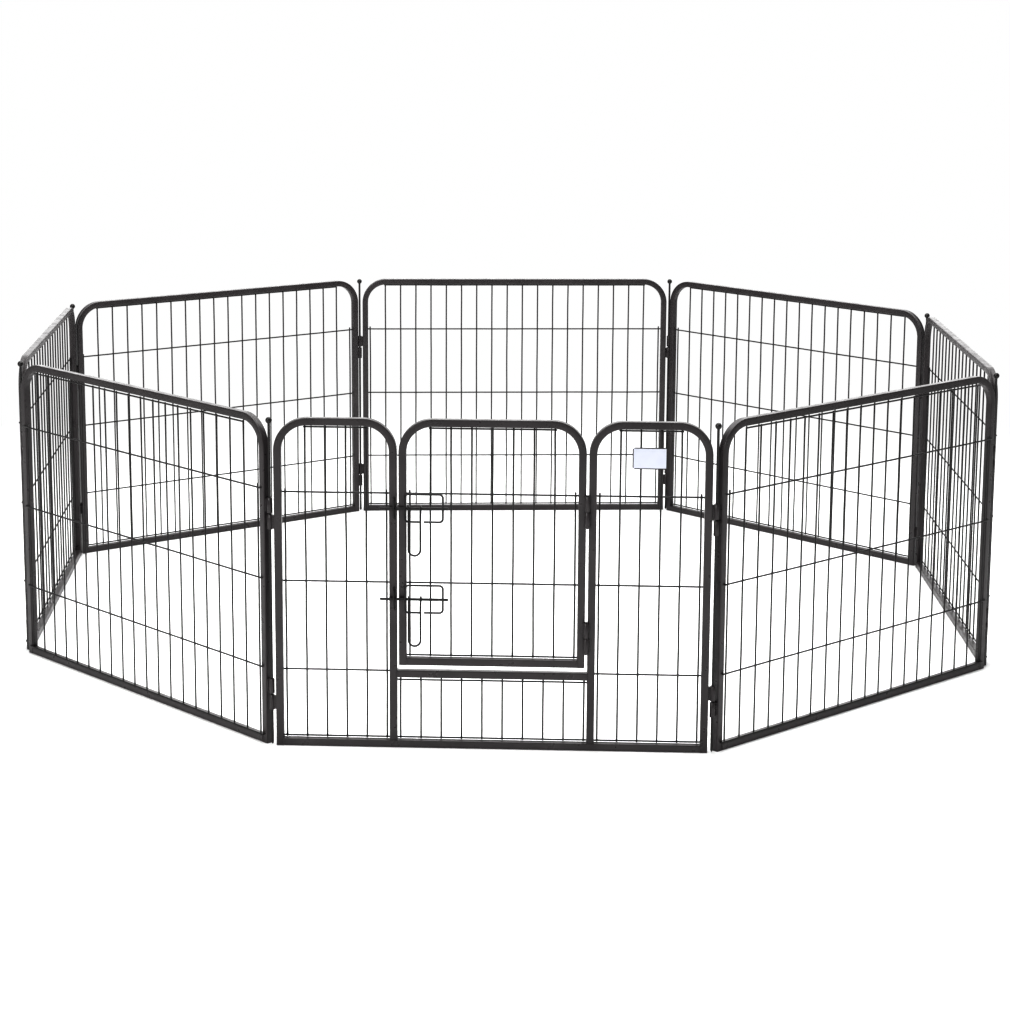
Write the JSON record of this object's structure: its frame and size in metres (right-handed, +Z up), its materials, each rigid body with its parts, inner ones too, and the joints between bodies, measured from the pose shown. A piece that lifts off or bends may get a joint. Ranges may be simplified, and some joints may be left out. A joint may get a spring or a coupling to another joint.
{
  "type": "pet playpen",
  "caption": "Freestanding pet pen of tube-framed wire mesh panels hinged on corner drop pins, with an outward-opening door in the front panel shut by slide bolts.",
  "frame": {"origin": "on the floor, under the middle of the front panel's bottom rail", "axes": "+Z up; +X along the front panel to its right-hand end as seen from outside; +Y into the pen"},
  "size_m": [2.0983, 1.963, 0.622],
  "materials": {
    "powder_coat": "satin charcoal powder coat",
    "coated_wire": "satin charcoal powder coat",
    "dark_steel": "semi-gloss near-black coating",
    "card": "plain white card, left blank"
  },
  "bodies": {
    "front_panel": {"front_left_bay_hoop": "powder_coat", "front_right_bay_hoop": "powder_coat", "front_bottom_rail": "powder_coat", "front_cross_rail": "powder_coat", "front_left_bay_mesh": "coated_wire", "front_right_bay_mesh": "coated_wire", "front_lower_mesh": "coated_wire", "door_hinge_pin_lower": "dark_steel", "door_hinge_pin_upper": "dark_steel", "latch_keeper_lower": "dark_steel", "latch_keeper_upper": "dark_steel", "blank_card": "card"},
    "front_right_panel": {"front_right_hoop": "powder_coat", "front_right_bottom_rail": "powder_coat", "front_right_mesh": "coated_wire"},
    "right_panel": {"right_hoop": "powder_coat", "right_bottom_rail": "powder_coat", "right_mesh": "coated_wire"},
    "back_right_panel": {"back_right_hoop": "powder_coat", "back_right_bottom_rail": "powder_coat", "back_right_mesh": "coated_wire"},
    "back_panel": {"back_hoop": "powder_coat", "back_bottom_rail": "powder_coat", "back_mesh": "coated_wire"},
    "back_left_panel": {"back_left_hoop": "powder_coat", "back_left_bottom_rail": "powder_coat", "back_left_mesh": "coated_wire"},
    "left_panel": {"left_hoop": "powder_coat", "left_bottom_rail": "powder_coat", "left_mesh": "coated_wire"},
    "front_left_panel": {"front_left_hoop": "powder_coat", "front_left_bottom_rail": "powder_coat", "front_left_mesh": "coated_wire"},
    "door": {"door_hoop": "powder_coat", "door_bottom_rail": "powder_coat", "door_mesh": "coated_wire", "latch_guard_lower": "dark_steel", "latch_guard_upper": "dark_steel"},
    "lower_bolt": {"latch_bolt_lower": "dark_steel"},
    "lower_handle": {"latch_handle_lower": "dark_steel"},
    "upper_bolt": {"latch_bolt_upper": "dark_steel"},
    "upper_handle": {"latch_handle_upper": "dark_steel"},
    "pin_front_left_to_front": {"pin_front_left_to_front": "dark_steel"},
    "pin_front_to_front_right": {"pin_front_to_front_right": "dark_steel"},
    "pin_front_right_to_right": {"pin_front_right_to_right": "dark_steel"},
    "pin_right_to_back_right": {"pin_right_to_back_right": "dark_steel"},
    "pin_back_right_to_back": {"pin_back_right_to_back": "dark_steel"},
    "pin_back_to_back_left": {"pin_back_to_back_left": "dark_steel"},
    "pin_back_left_to_left": {"pin_back_left_to_left": "dark_steel"},
    "pin_left_to_front_left": {"pin_left_to_front_left": "dark_steel"}
  },
  "joints": [
    {"name": "fold_front_to_front_right", "type": "hinge", "parent": "front_panel", "child": "front_right_panel", "pos_m": [0.408, 0, 0], "axis": [0, 0, 1], "range_deg": [-138.4, 0]},
    {"name": "fold_front_right_to_right", "type": "hinge", "parent": "front_right_panel", "child": "right_panel", "pos_m": [1.00089, 0.56066, 0], "axis": [0, 0, -1], "range_deg": [0, 143.4]},
    {"name": "fold_right_to_back_right", "type": "hinge", "parent": "right_panel", "child": "back_right_panel", "pos_m": [0.97525, 1.37626, 0], "axis": [0, 0, 1], "range_deg": [-140.1, 49.9]},
    {"name": "fold_back_right_to_back", "type": "hinge", "parent": "back_right_panel", "child": "back_panel", "pos_m": [0.37944, 1.93381, 0], "axis": [0, 0, -1], "range_deg": [-47.5, 142.5]},
    {"name": "fold_front_to_front_left", "type": "hinge", "parent": "front_panel", "child": "front_left_panel", "pos_m": [-0.408, 0, 0], "axis": [0, 0, 1], "range_deg": [0, 138.2]},
    {"name": "fold_front_left_to_left", "type": "hinge", "parent": "front_left_panel", "child": "left_panel", "pos_m": [-1.0028, 0.55864, 0], "axis": [0, 0, -1], "range_deg": [-136.4, 53.6]},
    {"name": "fold_left_to_back_left", "type": "hinge", "parent": "left_panel", "child": "back_left_panel", "pos_m": [-1.07892, 1.37108, 0], "axis": [0, 0, 1], "range_deg": [-37.4, 152.6]},
    {"name": "lift_pin_front_left_to_front", "type": "slide", "parent": "front_left_panel", "child": "pin_front_left_to_front", "axis": [0, 0, 1], "range_m": [-0.13, 0.455]},
    {"name": "lift_pin_front_to_front_right", "type": "slide", "parent": "front_panel", "child": "pin_front_to_front_right", "axis": [0, 0, 1], "range_m": [-0.13, 0.455]},
    {"name": "lift_pin_front_right_to_right", "type": "slide", "parent": "front_right_panel", "child": "pin_front_right_to_right", "axis": [0, 0, 1], "range_m": [-0.13, 0.455]},
    {"name": "lift_pin_right_to_back_right", "type": "slide", "parent": "right_panel", "child": "pin_right_to_back_right", "axis": [0, 0, 1], "range_m": [-0.13, 0.455]},
    {"name": "lift_pin_back_right_to_back", "type": "slide", "parent": "back_right_panel", "child": "pin_back_right_to_back", "axis": [0, 0, 1], "range_m": [-0.13, 0.455]},
    {"name": "lift_pin_back_to_back_left", "type": "slide", "parent": "back_panel", "child": "pin_back_to_back_left", "axis": [0, 0, 1], "range_m": [-0.13, 0.455]},
    {"name": "lift_pin_back_left_to_left", "type": "slide", "parent": "back_left_panel", "child": "pin_back_left_to_left", "axis": [0, 0, 1], "range_m": [-0.13, 0.455]},
    {"name": "lift_pin_left_to_front_left", "type": "slide", "parent": "left_panel", "child": "pin_left_to_front_left", "axis": [0, 0, 1], "range_m": [-0.13, 0.455]},
    {"name": "door_swing", "type": "hinge", "parent": "front_panel", "child": "door", "pos_m": [0.1735, -0.0122, 0], "axis": [0, 0, 1], "range_deg": [0, 180]},
    {"name": "lower_bolt_slide", "type": "slide", "parent": "door", "child": "lower_bolt", "axis": [1, 0, 0], "range_m": [0, 0.033]},
    {"name": "lower_handle_swing", "type": "hinge", "parent": "lower_bolt", "child": "lower_handle", "pos_m": [-0.1411, -0.0103, 0.286], "axis": [1, 0, 0], "range_deg": [-135, 0]},
    {"name": "upper_bolt_slide", "type": "slide", "parent": "door", "child": "upper_bolt", "axis": [1, 0, 0], "range_m": [0, 0.033]},
    {"name": "upper_handle_swing", "type": "hinge", "parent": "upper_bolt", "child": "upper_handle", "pos_m": [-0.1411, -0.0103, 0.457], "axis": [1, 0, 0], "range_deg": [-135, 0]}
  ]
}
